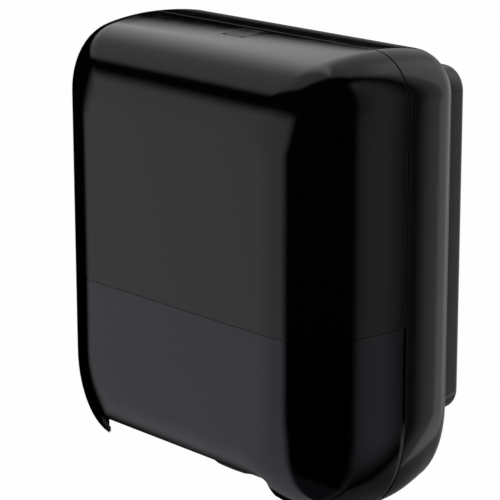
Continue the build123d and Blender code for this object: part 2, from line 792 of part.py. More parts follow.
# Pressure rollers on their sprung frame behind the drum
pressure_shaft_end = max(press_arm_places) + press_arm_thick
arm_shape = hull(
    disc(press_arm_r, press_pivot_y, press_pivot_z),
    disc(press_arm_r, roller_y, roller_z),
)
pressure_frame = rod(press_tube_r, -pressure_shaft_end, pressure_shaft_end, press_pivot_y, press_pivot_z)
for place in press_arm_places:
    pressure_arm = plate(arm_shape, place - press_arm_thick / 2, place + press_arm_thick / 2)
    pressure_frame += both_sides(pressure_arm)
pressure_frame -= rod(press_pivot_r + seat_fit, -frame_in, frame_in, press_pivot_y, press_pivot_z)
pressure_frame -= rod(roller_shaft_r + run_fit, -frame_in, frame_in, roller_y, roller_z)
pressure_pivot = rod(press_pivot_r, -frame_out, frame_out, press_pivot_y, press_pivot_z)
pressure_shaft = rod(roller_shaft_r, -pressure_shaft_end, pressure_shaft_end, roller_y, roller_z)
pressure_rollers = Part()
for place in roller_places:
    roller = rod(roller_r, place - roller_width / 2, place + roller_width / 2, roller_y, roller_z)
    roller -= rod(roller_shaft_r + seat_fit, place - roller_width, place + roller_width, roller_y, roller_z)
    pressure_rollers += roller
press_spring_x = pressure_shaft_end + spring_wire + split_gap
press_spring_long = frame_in - press_spring_x - 2 * spring_wire - split_gap
press_spring = coil(
    (press_spring_x, press_pivot_y, press_pivot_z),
    (1, 0, 0),
    press_spring_long,
    press_pivot_r + spring_wire + split_gap,
    spring_wire,
    press_spring_turns,
)
pressure_springs = both_sides(press_spring)

# Towel chute under the drum, with its bowed lip, and the guard in front
low_turn = radians(chute_low_angle)
low_point = Vector(drum_y + chute_r * cos(low_turn), drum_z + chute_r * sin(low_turn))
chute_arc = CenterArc((drum_y, drum_z), chute_r, chute_low_angle, chute_rear_angle - chute_low_angle)
paper_chute = plate(trace(chute_arc, chute_thick), -frame_in, frame_in)
lip_line = Line(low_point, low_point - Vector(lip_forward, lip_drop))
lip_plate = plate(trace(lip_line, chute_thick), -lip_half, lip_half)
lip_bow_r = (lip_half**2 + lip_bow**2) / (2 * lip_bow)
lip_low = low_point.Y - lip_drop
bow_disc = Pos(0, lip_low + lip_bow_r) * Circle(lip_bow_r)
paper_chute += lip_plate & extrude(upright(0) * bow_disc, amount=depth)
guard_arc = CenterArc((drum_y, drum_z), chute_r, guard_rear_angle, guard_front_angle - guard_rear_angle)
drum_guard = plate(trace(guard_arc, chute_thick), -frame_in, frame_in)

# Roll holders: a fixed left arm, and a right arm that swings out on a pin
tip = disc(arm_tip_r, roll_y, roll_z)
left_shape = hull(tip, block(foot_y, -wall, roll_z - arm_base_half, roll_z + arm_base_half))
roll_arm_left = plate(left_shape, -arm_out, -arm_in)
roll_arm_left += slab(
    -arm_out - foot_wide, -arm_out, foot_y, -wall, roll_z - arm_base_half, roll_z + arm_base_half
)
hub_floor = hub_out - hub_length
axle_end = hub_floor + axle_end_gap
roll_arm_left += rod(axle_r, -arm_in, -axle_end, roll_y, roll_z)

hub_nose = hub_floor - hub_flange
hub_profile = Polyline(
    (0, hub_nose),
    (hub_nose_r, hub_nose),
    (core_r, hub_out - hub_flange),
    (hub_flange_r, hub_out - hub_flange),
    (hub_flange_r, hub_out),
    (axle_r + run_fit, hub_out),
    (axle_r + run_fit, hub_floor),
    (0, hub_floor),
    close=True,
)
hub_turned = revolve(Plane.XZ * make_face(hub_profile), axis=Axis.Z)
roll_hub_right = Pos(0, roll_y, roll_z) * Rot(0, 90, 0) * hub_turned
roll_hub_left = mirror(roll_hub_right, about=Plane.YZ)

knuckle_low = roll_z - knuckle_half
knuckle_high = roll_z + knuckle_half
arm_root = arm_pin_y - knuckle_r
right_shape = hull(tip, block(arm_root - arm_thick, arm_root, knuckle_low, knuckle_high))
roll_arm_right = plate(right_shape, arm_in, arm_out)
roll_arm_right += slab(arm_in, arm_pin_x, arm_root - arm_thick, arm_pin_y, knuckle_low, knuckle_high)
roll_arm_right += bar_z(knuckle_r, arm_pin_x, arm_pin_y, knuckle_low, knuckle_high)
roll_arm_right -= bar_z(arm_pin_r + run_fit, arm_pin_x, arm_pin_y, knuckle_low, knuckle_high)
roll_arm_right += rod(axle_r, axle_end, arm_in, roll_y, roll_z)

bracket_low = roll_z - bracket_half
bracket_high = roll_z + bracket_half
bracket_side = foot_wide - arm_pin_out
arm_bracket = slab(arm_in, arm_pin_x + bracket_side, foot_y, -wall, bracket_low, bracket_high)
lug_plan = Pos(arm_pin_x, (arm_pin_y + foot_y) / 2) * Rectangle(2 * knuckle_r, foot_y - arm_pin_y)
lug_plan += Pos(arm_pin_x, arm_pin_y) * Circle(knuckle_r)
lug_plan -= Pos(arm_pin_x, arm_pin_y) * Circle(arm_pin_r + seat_fit)
for lug_low in (knuckle_low - side_play - lug_thick, knuckle_high + side_play):
    arm_bracket += extrude(Plane.XY.offset(lug_low) * lug_plan, amount=lug_thick)
pin_low = knuckle_low - side_play - lug_thick
arm_pin_head = pin_low - press_spring_turns * 2 * spring_wire - 2 * split_gap
arm_pin = bar_z(arm_pin_r, arm_pin_x, arm_pin_y, arm_pin_head, knuckle_high + side_play + lug_thick)
arm_spring = coil(
    (arm_pin_x, arm_pin_y, pin_low - spring_wire - split_gap),
    (0, 0, -1),
    pin_low - arm_pin_head - 2 * spring_wire,
    arm_pin_r + spring_wire + split_gap,
    spring_wire,
    press_spring_turns - 1,
)

arm_screws = Part()
for screw_x, screw_z in arm_screw_places:
    hole = bar_y(screw_r + seat_fit, screw_x, 2 * foot_y, 0, screw_z)
    roll_arm_left -= hole
    arm_bracket -= hole
    arm_screws += bar_y(screw_head_r, screw_x, foot_y - screw_head, foot_y, screw_z)
    arm_screws += bar_y(screw_r, screw_x, foot_y, screw_bite - wall, screw_z)

nodes = {
    "wall_housing": wall_housing,
    "rear_shell": rear_shell,
    "shell_screws": shell_screws,
    "hinge_pins": hinge_pins,
    "front_cover": front_cover,
    "window": window,
    "lock_button": lock_button,
    "latch_lever": latch_lever,
    "latch_pin": latch_pin,
    "latch_spring": latch_spring,
    "latch_catch": latch_catch,
    "side_frame_left": side_frame_left,
    "side_frame_right": side_frame_right,
    "frame_tie": frame_tie,
    "frame_screws": frame_screws,
    "drum_bush_left": drum_bush_left,
    "drum_bush_right": drum_bush_right,
    "one_way_clutch": one_way_clutch,
    "drum_shell": drum_shell,
    "drum_grips": drum_grips,
    "drum_end_left": drum_end_left,
    "drum_end_right": drum_end_right,
    "drum_shaft": drum_shaft,
    "handwheel": handwheel,
    "handwheel_screw": handwheel_screw,
    "crank_disc": crank_disc,
    "crank_pin": crank_pin,
    "spring_post": spring_post,
    "return_spring": return_spring,
    "knife_carrier": knife_carrier,
    "knife_blade": knife_blade,
    "knife_pivot": knife_pivot,
    "knife_follower": knife_follower,
    "knife_cam": knife_cam,
    "pressure_frame": pressure_frame,
    "pressure_pivot": pressure_pivot,
    "pressure_springs": pressure_springs,
    "pressure_shaft": pressure_shaft,
    "pressure_rollers": pressure_rollers,
    "paper_chute": paper_chute,
    "drum_guard": drum_guard,
    "roll_arm_left": roll_arm_left,
    "roll_arm_right": roll_arm_right,
    "roll_hub_left": roll_hub_left,
    "roll_hub_right": roll_hub_right,
    "arm_bracket": arm_bracket,
    "arm_pin": arm_pin,
    "arm_spring": arm_spring,
    "arm_screws": arm_screws,
}

os.makedirs("parts", exist_ok=True)
for name, shape in nodes.items():
    export_step(shape, "parts/" + name + ".step")
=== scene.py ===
import json
from math import cos, pi, radians, sin, tan
import bmesh
import bpy
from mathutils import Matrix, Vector


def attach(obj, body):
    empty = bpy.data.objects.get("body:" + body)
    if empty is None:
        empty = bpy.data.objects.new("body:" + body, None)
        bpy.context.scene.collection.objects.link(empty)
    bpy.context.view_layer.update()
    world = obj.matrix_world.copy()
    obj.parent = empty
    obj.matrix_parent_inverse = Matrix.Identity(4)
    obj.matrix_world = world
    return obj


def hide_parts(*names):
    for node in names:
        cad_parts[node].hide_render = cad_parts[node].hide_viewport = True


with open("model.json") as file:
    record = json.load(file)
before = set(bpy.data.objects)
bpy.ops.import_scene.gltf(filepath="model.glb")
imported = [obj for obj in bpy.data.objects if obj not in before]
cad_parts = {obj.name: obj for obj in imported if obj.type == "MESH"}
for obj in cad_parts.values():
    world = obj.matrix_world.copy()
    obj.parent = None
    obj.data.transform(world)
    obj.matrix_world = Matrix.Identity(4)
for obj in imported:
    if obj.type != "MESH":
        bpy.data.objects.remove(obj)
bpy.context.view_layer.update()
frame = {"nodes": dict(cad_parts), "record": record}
scene = bpy.context.scene
scene.view_settings.view_transform = "Standard"

# Camera: a long lens about two metres away, in front of the dispenser,
# to its right and a little above it.
camera_data = bpy.data.cameras.new("camera")
camera_data.sensor_width = 36
camera_data.lens = 166.7
camera_data.shift_x = -0.0343
camera_data.shift_y = 0.0009
camera = bpy.data.objects.new("camera", camera_data)
scene.collection.objects.link(camera)
camera.location = (1.37884, -1.34777, 0.48963)
casing_middle = Vector((0, -0.1, 0))
aim = casing_middle - camera.location
camera.rotation_euler = aim.to_track_quat("-Z", "Y").to_euler()
scene.camera = camera

# Studio: a room that is white to the camera, and dark to gloss but for four soft cards.
# One stands low in front, a bright one lies over the roof behind, and two dim ones stand on
# the right. An edge is two angles in degrees, up from level or round from the right by the back.
white = (1, 1, 1, 1)


def put(tree, kind, inputs=(), **settings):
    """Adds a shader node; an input is a number, a colour or another node's socket."""
    made = tree.nodes.new(kind)
    for key, value in settings.items():
        setattr(made, key, value)
    for key, value in dict(inputs).items():
        if isinstance(value, bpy.types.NodeSocket):
            tree.links.new(value, made.inputs[key])
        else:
            made.inputs[key].default_value = value
    return made


def sums(tree, operation, first, second):
    """One step of arithmetic on two sockets or numbers."""
    return put(tree, "ShaderNodeMath", {0: first, 1: second}, operation=operation).outputs[0]


def ramp(tree, value, edge, start, end):
    """Soft step from start to end while the value goes from one side of an edge to the other."""
    low, high = edge
    inputs = {"Value": value, "From Min": low, "From Max": high, "To Min": start, "To Max": end}
    return put(tree, "ShaderNodeMapRange", inputs, interpolation_type="SMOOTHSTEP").outputs[0]


def mix_shaders(tree, share, first, second):
    """The first shader, and by its share the second."""
    return put(tree, "ShaderNodeMixShader", {0: share, 1: first, 2: second}).outputs[0]


def blank_material(name):
    """A new material and its node tree, with nothing in it."""
    made = bpy.data.materials.new(name)
    made.use_nodes = True
    made.node_tree.nodes.clear()
    return made, made.node_tree


world = bpy.data.worlds.new("studio")
scene.world = world
world.use_nodes = True
room = world.node_tree
room.nodes.clear()


def rises(value, edge, level):
    """A card's first edge: dark before it, at the card's level after it."""
    return ramp(room, value, edge, 0, level)


def falls(value, edge):
    """A card's last edge: all of it before the edge, and none after."""
    return ramp(room, value, edge, 1, 0)


def times(*factors):
    """Product of a card's level and edges."""
    product = factors[0]
    for factor in factors[1:]:
        product = sums(room, "MULTIPLY", product, factor)
    return product


def background(strength):
    """White light of one strength from all round."""
    return put(room, "ShaderNodeBackground", {"Color": white, "Strength": strength}).outputs[0]


to_degrees = 180 / pi
way = put(room, "ShaderNodeTexCoord").outputs["Generated"]
side, depth, rise = put(room, "ShaderNodeSeparateXYZ", {0: way}).outputs
climb = put(room, "ShaderNodeMath", {0: rise}, operation="ARCSINE").outputs[0]
height_angle = times(climb, to_degrees)
around = sums(room, "FLOORED_MODULO", times(sums(room, "ARCTAN2", depth, side), to_degrees), 360)

front_level = 0.63
front_left = (203, 217)
front_right = (258, 273)
front_top = (11, 25)
front_lean = 0.4
front_lean_top = -15
below_lean = sums(room, "MAXIMUM", sums(room, "SUBTRACT", front_lean_top, height_angle), 0)
front_turn = sums(room, "ADD", around, times(below_lean, front_lean))
front_card = times(
    rises(front_turn, front_left, front_level),
    falls(around, front_right),
    falls(height_angle, front_top),
)

roof_level = 0.5
roof_glow_level = 0.7
roof_glow_start = (130, 150)
roof_glow_end = (148, 185)
roof_tilt = 0.72
roof_tilt_start = 136
roof_tilt_end = 148
roof_low = (9.9, 15.9)
# the roof card's front and right edges are straight: they lie on a flat roof one unit up
roof_front = (-0.85, -0.55)
roof_right = (-0.1, 0.14)
roof_slant = 0.54
least_rise = 0.05
roof_rise = sums(room, "MAXIMUM", rise, least_rise)
roof_depth = sums(room, "DIVIDE", depth, roof_rise)
roof_side = sums(room, "DIVIDE", side, roof_rise)
roof_side = sums(room, "SUBTRACT", roof_side, times(roof_depth, roof_slant))
roof_turn = sums(room, "SUBTRACT", sums(room, "MINIMUM", around, roof_tilt_end), roof_tilt_start)
roof_climb = sums(room, "SUBTRACT", height_angle, times(roof_turn, roof_tilt))
roof_glow = times(
    rises(around, roof_glow_start, roof_glow_level),
    falls(around, roof_glow_end),
)
roof_card = times(
    sums(room, "ADD", roof_glow, roof_level),
    rises(roof_climb, roof_low, 1),
    rises(roof_depth, roof_front, 1),
    falls(roof_side, roof_right),
)

side_level = 0.29
side_start = (9, 34)
side_end = (34, 51)
back_level = 0.38
back_start = (48, 58)
back_end = (90, 165)
right_top = (50, 64)
right_top_end = (85, 110)
level_line = (-2, 4)
dim_below = (-50, -20)
dim_level = 0.25
side_card = times(rises(around, side_start, side_level), falls(around, side_end))
back_card = times(rises(around, back_start, back_level), falls(around, back_end))
right_reach = times(falls(height_angle, right_top), falls(around, right_top_end))
right_cards = times(
    sums(room, "ADD", side_card, back_card),
    sums(room, "MAXIMUM", falls(height_angle, level_line), right_reach),
    ramp(room, height_angle, dim_below, dim_level, 1),
)
cards = sums(room, "ADD", sums(room, "ADD", front_card, roof_card), right_cards)

soft_level = 0.7
rays = put(room, "ShaderNodeLightPath").outputs
lit = mix_shaders(room, rays["Is Glossy Ray"], background(soft_level), background(cards))
shown = mix_shaders(room, rays["Is Camera Ray"], lit, background(1.0))
put(room, "ShaderNodeOutputWorld", {"Surface": shown})

lamp_data = bpy.data.lights.new("roof_lamp", "AREA")
lamp_data.shape = "RECTANGLE"
lamp_data.size = 2.4
lamp_data.size_y = 1.8
lamp_data.energy = 26
lamp = bpy.data.objects.new("roof_lamp", lamp_data)
scene.collection.objects.link(lamp)
lamp.location = (-0.9, -1.1, 2.2)
lamp.rotation_euler = (-lamp.location).to_track_quat("-Z", "Y").to_euler()
lamp.visible_glossy = False

floor_height = -0.55
floor_tone = (0.86, 0.86, 0.86, 1)
floor_whiteness = 0.97
bpy.ops.object.select_all(action="DESELECT")
bpy.ops.mesh.primitive_plane_add(size=12, location=(0, 0, floor_height))
floor = bpy.context.object
floor.name = "floor"
floor.visible_glossy = False
floor.visible_transmission = False
floor_paint, floor_tree = blank_material("floor_paint")
floor_seen = put(floor_tree, "ShaderNodeLightPath").outputs["Is Camera Ray"]
floor_share = sums(floor_tree, "MULTIPLY", floor_seen, floor_whiteness)
floor_coat = put(floor_tree, "ShaderNodeBsdfDiffuse", {"Color": floor_tone}).outputs[0]
floor_white = put(floor_tree, "ShaderNodeEmission", {"Color": white, "Strength": 1.0}).outputs[0]
floor_look = mix_shaders(floor_tree, floor_share, floor_coat, floor_white)
put(floor_tree, "ShaderNodeOutputMaterial", {"Surface": floor_look})
floor.data.materials.append(floor_paint)

# Wall housing: the deep satin tray that screws to the wall and carries the mechanism.
# One moulding in black ABS with a fine spark texture.
flow_size = 9.0
scuff_edge = (0.45, 0.75)
relief_strength = 0.5
weld_gap = 0.000004
weld_smooth = radians(32)


def noise(tree, place, size, detail, roughness=0.5):
    """Noise over a place, as a socket."""
    inputs = {"Vector": place, "Scale": size, "Detail": detail, "Roughness": roughness}
    return put(tree, "ShaderNodeTexNoise", inputs).outputs[0]


moulding = bpy.data.node_groups.new("moulding", "ShaderNodeTree")
for label in ("Peel Size", "Scuff Size"):
    moulding.interface.new_socket(label, in_out="INPUT", socket_type="NodeSocketFloat")
for label in ("Peel", "Scuff", "Flow"):
    moulding.interface.new_socket(label, in_out="OUTPUT", socket_type="NodeSocketFloat")
moulding_in = put(moulding, "NodeGroupInput").outputs
moulding_place = put(moulding, "ShaderNodeTexCoord").outputs["Object"]
scuffs = noise(moulding, moulding_place, moulding_in["Scuff Size"], detail=6.0, roughness=0.7)
moulding_out = {
    "Peel": noise(moulding, moulding_place, moulding_in["Peel Size"], detail=2.0),
    "Scuff": ramp(moulding, scuffs, scuff_edge, 0, 1),
    "Flow": noise(moulding, moulding_place, flow_size, detail=1.0),
}
put(moulding, "NodeGroupOutput", moulding_out)


def moulding_grain(tree, peel_size, scuff_size):
    """The moulding group's outputs in one material, at its own sizes."""
    sizes = {"Peel Size": peel_size, "Scuff Size": scuff_size}
    return put(tree, "ShaderNodeGroup", sizes, node_tree=moulding).outputs


def skin(tree, tone_mask, tones, dull_mask, dullness, relief, extra):
    """Surface shader: tone and gloss that follow masks, over a relief of its height,
    strength and depth, with the extra inputs of its finish."""
    dark, pale = tones
    smooth, rough = dullness
    height, strength, deep = relief
    # sockets 0, 6 and 7 of a Mix node are the factor and two colours, and 2 is their blend
    colours = {0: tone_mask, 6: dark + (1,), 7: pale + (1,)}
    tone = put(tree, "ShaderNodeMix", colours, data_type="RGBA").outputs[2]
    dulls = {"Value": dull_mask, "To Min": smooth, "To Max": rough}
    dull = put(tree, "ShaderNodeMapRange", dulls).outputs[0]
    bumps = {"Height": height, "Strength": strength, "Distance": deep}
    bump = put(tree, "ShaderNodeBump", bumps).outputs[0]
    inputs = {"Base Color": tone, "Roughness": dull, "Normal": bump}
    return put(tree, "ShaderNodeBsdfPrincipled", {**inputs, **extra}).outputs[0]


def moulded(name, tones, dullness, peel_size, peel_depth, scuff_size):
    """A moulded plastic: two close tones, gloss that scuffs a little dull, and moulding grain."""
    made, tree = blank_material(name)
    grain = moulding_grain(tree, peel_size, scuff_size)
    relief = (grain["Peel"], relief_strength, peel_depth)
    look = skin(tree, grain["Flow"], tones, grain["Scuff"], dullness, relief, {})
    put(tree, "ShaderNodeOutputMaterial", {"Surface": look})
    return made


body_of = {}
for body, names in frame["record"]["behaviour"]["bodies"].items():
    for name in names:
        body_of[name] = body


def fit_piece(piece, node, material):
    """Gives a piece its material and puts it in the place of a CAD node."""
    piece.data.materials.clear()
    piece.data.materials.append(material)
    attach(piece, body_of[node])
    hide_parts(node)


def merged_copy(node, name):
    """A smooth-shaded, welded copy of a CAD node's mesh, alone and selected."""
    bpy.ops.object.select_all(action="DESELECT")
    piece = bpy.data.objects.new(name, frame["nodes"][node].data.copy())
    scene.collection.objects.link(piece)
    bpy.context.view_layer.objects.active = piece
    piece.select_set(True)
    bpy.ops.object.mode_set(mode="EDIT")
    bpy.ops.mesh.select_all(action="SELECT")
    bpy.ops.mesh.remove_doubles(threshold=weld_gap)
    bpy.ops.mesh.customdata_custom_splitnormals_clear()
    bpy.ops.object.mode_set(mode="OBJECT")
    bpy.ops.object.shade_smooth_by_angle(angle=weld_smooth)
    return piece


housing_satin = moulded(
    "housing_satin",
    tones=((0.0035, 0.0035, 0.0038), (0.005, 0.005, 0.0055)),
    dullness=(0.2, 0.34),
    peel_size=1400,
    peel_depth=0.00002,
    scuff_size=60,
)
housing = merged_copy("wall_housing", "housing_tray")
fit_piece(housing, "wall_housing", housing_satin)

# Rear shell: the fixed half of the casing, a crowned moulding in gloss black plastic.
# It is drawn ring by ring from the seam to its round back, then given its wall and a slot
# for each hinge ear of the lid. The tabs and lugs inside it are the CAD's own.
half_width = 0.1685
half_height = 0.186
wall = 0.003
top_round = 0.039
low_round_x = 0.046
low_round_z = 0.074
front_top_round = 0.026
front_low_round_x = 0.026
front_low_round_z = 0.038
crown = radians(9)
seam_front = -0.106
shell_back = -0.042
shell_round = 0.025
shell_low_draft = 0.006
round_start = shell_back - shell_round * (1 - sin(crown))
shell_draft = (round_start - seam_front) * tan(crown) / 2
round_inset = shell_draft + shell_round * cos(crown)
corner_steps = 14
side_steps = 12
crown_steps = 8
shell_round_steps = 14
ear_x = 0.121
ear_slot_y = -0.092225
ear_slot_z = -0.18175
ear_slot_size = (0.007, 0.02995, 0.0365)
shell_side = Vector((half_width, -0.09, 0))
rim_break = 0.00025
rim_angle = radians(50)
smooth_angle = radians(40)
right = Vector((1, 0, 0))
left = Vector((-1, 0, 0))
ahead = Vector((0, -1, 0))
behind = Vector((0, 1, 0))
up = Vector((0, 0, 1))
down = Vector((0, 0, -1))


def ring_points(y, half, high, deep, corner, foot_x, foot_z):
    """Points round an outline at depth y, with round upper corners and oval lower ones."""
    points = []
    for centre_x, centre_z, wide, tall, turn in (
        (half - corner, high - corner, corner, corner, 0),
        (corner - half, high - corner, corner, corner, 90),
        (foot_x - half, deep + foot_z, foot_x, foot_z, 180),
        (half - foot_x, deep + foot_z, foot_x, foot_z, 270),
    ):
        for step in range(corner_steps + 1):
            angle = radians(turn + 90 * step / corner_steps)
            x = centre_x + wide * cos(angle)
            z = centre_z + tall * sin(angle)
            points.append(Vector((x, y, z)))
    ring = []
    for index, point in enumerate(points):
        ring.append(point)
        if index % (corner_steps + 1) == corner_steps:
            after = points[(index + 1) % len(points)]
            for step in range(1, side_steps):
                ring.append(point.lerp(after, step / side_steps))
    return ring


def casing_ring(y, drawn, low, share, shrink):
    """The casing's outline at depth y, drawn in all round and lifted below. The share is
    how far its corners have eased to those of the flat front."""
    corner = top_round + (front_top_round - top_round) * share - shrink
    foot_x = low_round_x + (front_low_round_x - low_round_x) * share - shrink
    foot_z = low_round_z + (front_low_round_z - low_round_z) * share - shrink
    half = half_width - drawn
    high = half_height - drawn
    deep = drawn + low - half_height
    return ring_points(y, half, high, deep, corner, foot_x, foot_z)


def start_skin(name, ring):
    """First ring of a skin, from a circle, left in edit mode with its edges selected."""
    bpy.ops.object.select_all(action="DESELECT")
    bpy.ops.mesh.primitive_circle_add(vertices=len(ring), radius=0.1, fill_type="NOTHING")
    piece = bpy.context.object
    piece.name = name
    piece.data.name = name
    bpy.ops.object.mode_set(mode="EDIT")
    mesh = bmesh.from_edit_mesh(piece.data)
    for vertex, point in zip(mesh.verts, ring):
        vertex.co = point
    bmesh.update_edit_mesh(piece.data)
    return piece


def grow_skin(piece, before, ring):
    """Extrudes the selected ring, which lies at the points before, to the next ring."""
    bpy.ops.mesh.extrude_edges_indiv()
    mesh = bmesh.from_edit_mesh(piece.data)
    fresh = [vertex for vertex in mesh.verts if vertex.select]
    for vertex in fresh:
        gaps = [(point - vertex.co).length_squared for point in before]
        vertex.co = ring[gaps.index(min(gaps))]
    bmesh.update_edit_mesh(piece.data)
    return ring


def face_out(piece, probe, want):
    """Turns the skin's faces outwards, judged by the face nearest a probe point."""
    bpy.ops.mesh.select_all(action="SELECT")
    bpy.ops.mesh.normals_make_consistent(inside=False)
    mesh = bmesh.from_edit_mesh(piece.data)
    mesh.normal_update()
    nearest = min(mesh.faces, key=lambda face: (face.calc_center_median() - probe).length_squared)
    if nearest.normal.dot(want) < 0:
        bpy.ops.mesh.flip_normals()


def add_modifier(piece, kind, **settings):
    """Adds a modifier with its settings and applies it."""
    bpy.context.view_layer.objects.active = piece
    made = piece.modifiers.new(kind.lower(), kind)
    for key, value in settings.items():
        setattr(made, key, value)
    bpy.ops.object.modifier_apply(modifier=made.name)


def thicken(piece, thickness):
    """Gives a skin its wall, inwards."""
    add_modifier(
        piece,
        "SOLIDIFY",
        thickness=thickness,
        offset=-1,
        use_even_offset=True,
        use_quality_normals=True,
    )


def box(place, size):
    """A block at a place, with its size applied, left in object mode."""
    bpy.ops.object.select_all(action="DESELECT")
    bpy.ops.mesh.primitive_cube_add(size=1, location=place)
    made = bpy.context.object
    made.scale = size
    bpy.ops.object.transform_apply(location=True, rotation=False, scale=True)
    return made


def cut_away(piece, block):
    """Cuts a block out of a piece and drops the block."""
    add_modifier(piece, "BOOLEAN", operation="DIFFERENCE", object=block, solver="EXACT")
    bpy.data.objects.remove(block)


def ease_edges(piece, width):
    """Breaks the sharp rims, shades the piece smooth and keeps its flats flat."""
    add_modifier(
        piece, "BEVEL", width=width, segments=2, limit_method="ANGLE", angle_limit=rim_angle
    )
    bpy.ops.object.select_all(action="DESELECT")
    piece.select_set(True)
    bpy.ops.object.shade_smooth_by_angle(angle=smooth_angle)
    add_modifier(piece, "WEIGHTED_NORMAL", keep_sharp=True)


def slice_off(piece, direction, reach, closed=False):
    """Cuts off what lies beyond a reach from the origin in a direction."""
    bpy.ops.object.select_all(action="DESELECT")
    bpy.context.view_layer.objects.active = piece
    piece.select_set(True)
    bpy.ops.object.mode_set(mode="EDIT")
    bpy.ops.mesh.select_all(action="SELECT")
    place = direction * reach
    bpy.ops.mesh.bisect(plane_co=place, plane_no=direction, clear_outer=True, use_fill=closed)
    bpy.ops.object.mode_set(mode="OBJECT")


def crop(piece, sides):
    """Keeps what lies within a reach in each of some directions, and closes the cuts."""
    for direction, reach in sides:
        slice_off(piece, direction, reach, closed=True)


def join(piece, others):
    """Joins more pieces into one object."""
    bpy.ops.object.select_all(action="DESELECT")
    for other in others:
        other.select_set(True)
    piece.select_set(True)
    bpy.context.view_layer.objects.active = piece
    bpy.ops.object.join()


shell_edge = casing_ring(seam_front, drawn=0, low=0, share=0, shrink=0)
shell = start_skin("rear_casing", shell_edge)
shell_rings = []
for step in range(1, crown_steps + 1):
    along = step / crown_steps
    drawn = shell_draft * along**2
    y = seam_front + (round_start - seam_front) * along
    shell_rings.append(casing_ring(y, drawn, shell_low_draft * along**2, 0, drawn))
for step in range(1, shell_round_steps + 1):
    angle = crown + (pi / 2 - crown) * step / shell_round_steps
    drawn = round_inset - shell_round * cos(angle)
    y = shell_back - shell_round + shell_round * sin(angle)
    shell_rings.append(casing_ring(y, drawn, shell_low_draft, 0, drawn))
shell_rings.append(
    ring_points(
        shell_back, half=0.127, high=0.157, deep=-0.131, corner=0.010, foot_x=0.017, foot_z=0.017
    )
)
for ring in shell_rings:
    shell_edge = grow_skin(shell, shell_edge, ring)
face_out(shell, shell_side, right)
bpy.ops.object.mode_set(mode="OBJECT")
thicken(shell, wall)
for slot_x in (-ear_x, ear_x):
    cut_away(shell, box((slot_x, ear_slot_y, ear_slot_z), ear_slot_size))
ease_edges(shell, rim_break)

shell_tabs = merged_copy("rear_shell", "shell_tabs")
crop(shell_tabs, ((right, 0.1268), (left, 0.1268), (up, 0.1568), (down, 0.1308)))
shell_lugs = merged_copy("rear_shell", "shell_lugs")
crop(
    shell_lugs,
    (
        (ahead, 0.1035),
        (behind, -0.0835),
        (up, -0.155),
        (down, 0.1818),
        (right, 0.1318),
        (left, 0.1318),
    ),
)
join(shell, [shell_tabs, shell_lugs])

shell_gloss = moulded(
    "shell_gloss",
    tones=((0.0012, 0.0012, 0.0013), (0.0018, 0.0018, 0.002)),
    dullness=(0.09, 0.15),
    peel_size=420,
    peel_depth=0.000004,
    scuff_size=90,
)
fit_piece(shell, "rear_shell", shell_gloss)

# Front cover: the crowned upper half of the lid, gloss black, with a round nose to a flat front.
# The skin of cover and window is drawn as one and parted along the window's top edge. Behind
# the window the cover goes on as a lap band with eight ribs, coloured pale as a painted highlight
# for the light streaks along them, and two lugs take the latch.
cover_back = -0.1072
front_y = -0.203
front_round = 0.059
nose_steps = 24
nose_start = front_y + front_round * (1 - sin(crown))
cover_draft = (cover_back - nose_start) * tan(crown) / 2
nose_inset = cover_draft + front_round * cos(crown)
front_margin = 0.006
window_top = -0.0285
lock_hole_place = (0, -0.126, 0.18)
lock_hole_size = (0.0258, 0.0238, 0.03)
lock_hole_round = 0.0064
along_y = 1
along_z = 2
lap_inset = 0.004
lap_wall = 0.002
lap_reach = 0.074
lap_overlap = 0.006
seat_inset = 0.003
seat_wall = 0.0012
rib_count = 8
rib_size = (0.003, 0.002, 0.013)
rib_round = 0.0004
rib_pitch = 0.0286
rib_z = -0.048


def cover_skin(name, inset):
    """Outer skin of the whole lid, or one drawn in by an inset."""
    nose_r = front_round - inset
    skin_edge = casing_ring(cover_back, inset, 0, 0, inset)
    piece = start_skin(name, skin_edge)
    rings = []
    for step in range(1, crown_steps + 1):
        along = step / crown_steps
        y = cover_back + (nose_start - cover_back) * along
        rings.append(casing_ring(y, inset + cover_draft * along**2, 0, 0, inset))
    for step in range(nose_steps + 1):
        angle = crown + (pi / 2 - crown) * step / nose_steps
        if inset > 0 or step > 0:
            drawn = nose_inset - nose_r * cos(angle)
            share = 1 - cos(angle) / cos(crown)
            y = front_y + front_round - nose_r * sin(angle)
            rings.append(casing_ring(y, drawn, 0, share, inset))
    for ring in rings:
        skin_edge = grow_skin(piece, skin_edge, ring)
    bpy.ops.mesh.edge_face_add()
    bpy.ops.mesh.inset(thickness=front_margin)
    face_out(piece, Vector((0, front_y, 0)), ahead)
    bpy.ops.object.mode_set(mode="OBJECT")
    return piece


def round_edges(block, axis, radius, above=-1):
    """Rounds the block's edges that run along an axis, from a height up."""
    bpy.ops.object.mode_set(mode="EDIT")
    mesh = bmesh.from_edit_mesh(block.data)
    for edge in mesh.edges:
        start, end = (vertex.co for vertex in edge.verts)
        edge.select_set(abs(start[axis] - end[axis]) > radius and start.z > above)
    mesh.select_flush(True)
    bmesh.update_edit_mesh(block.data)
    bpy.ops.mesh.bevel(offset=radius, segments=8, affect="EDGES")
    bpy.ops.object.mode_set(mode="OBJECT")


lid = cover_skin("lid_skin", 0)
cover = bpy.data.objects.new("front_cover_shell", lid.data.copy())
scene.collection.objects.link(cover)
slice_off(cover, down, -window_top)
thicken(cover, wall)
lock_hole = box(lock_hole_place, lock_hole_size)
round_edges(lock_hole, along_z, lock_hole_round)
cut_away(cover, lock_hole)
ease_edges(cover, rim_break)

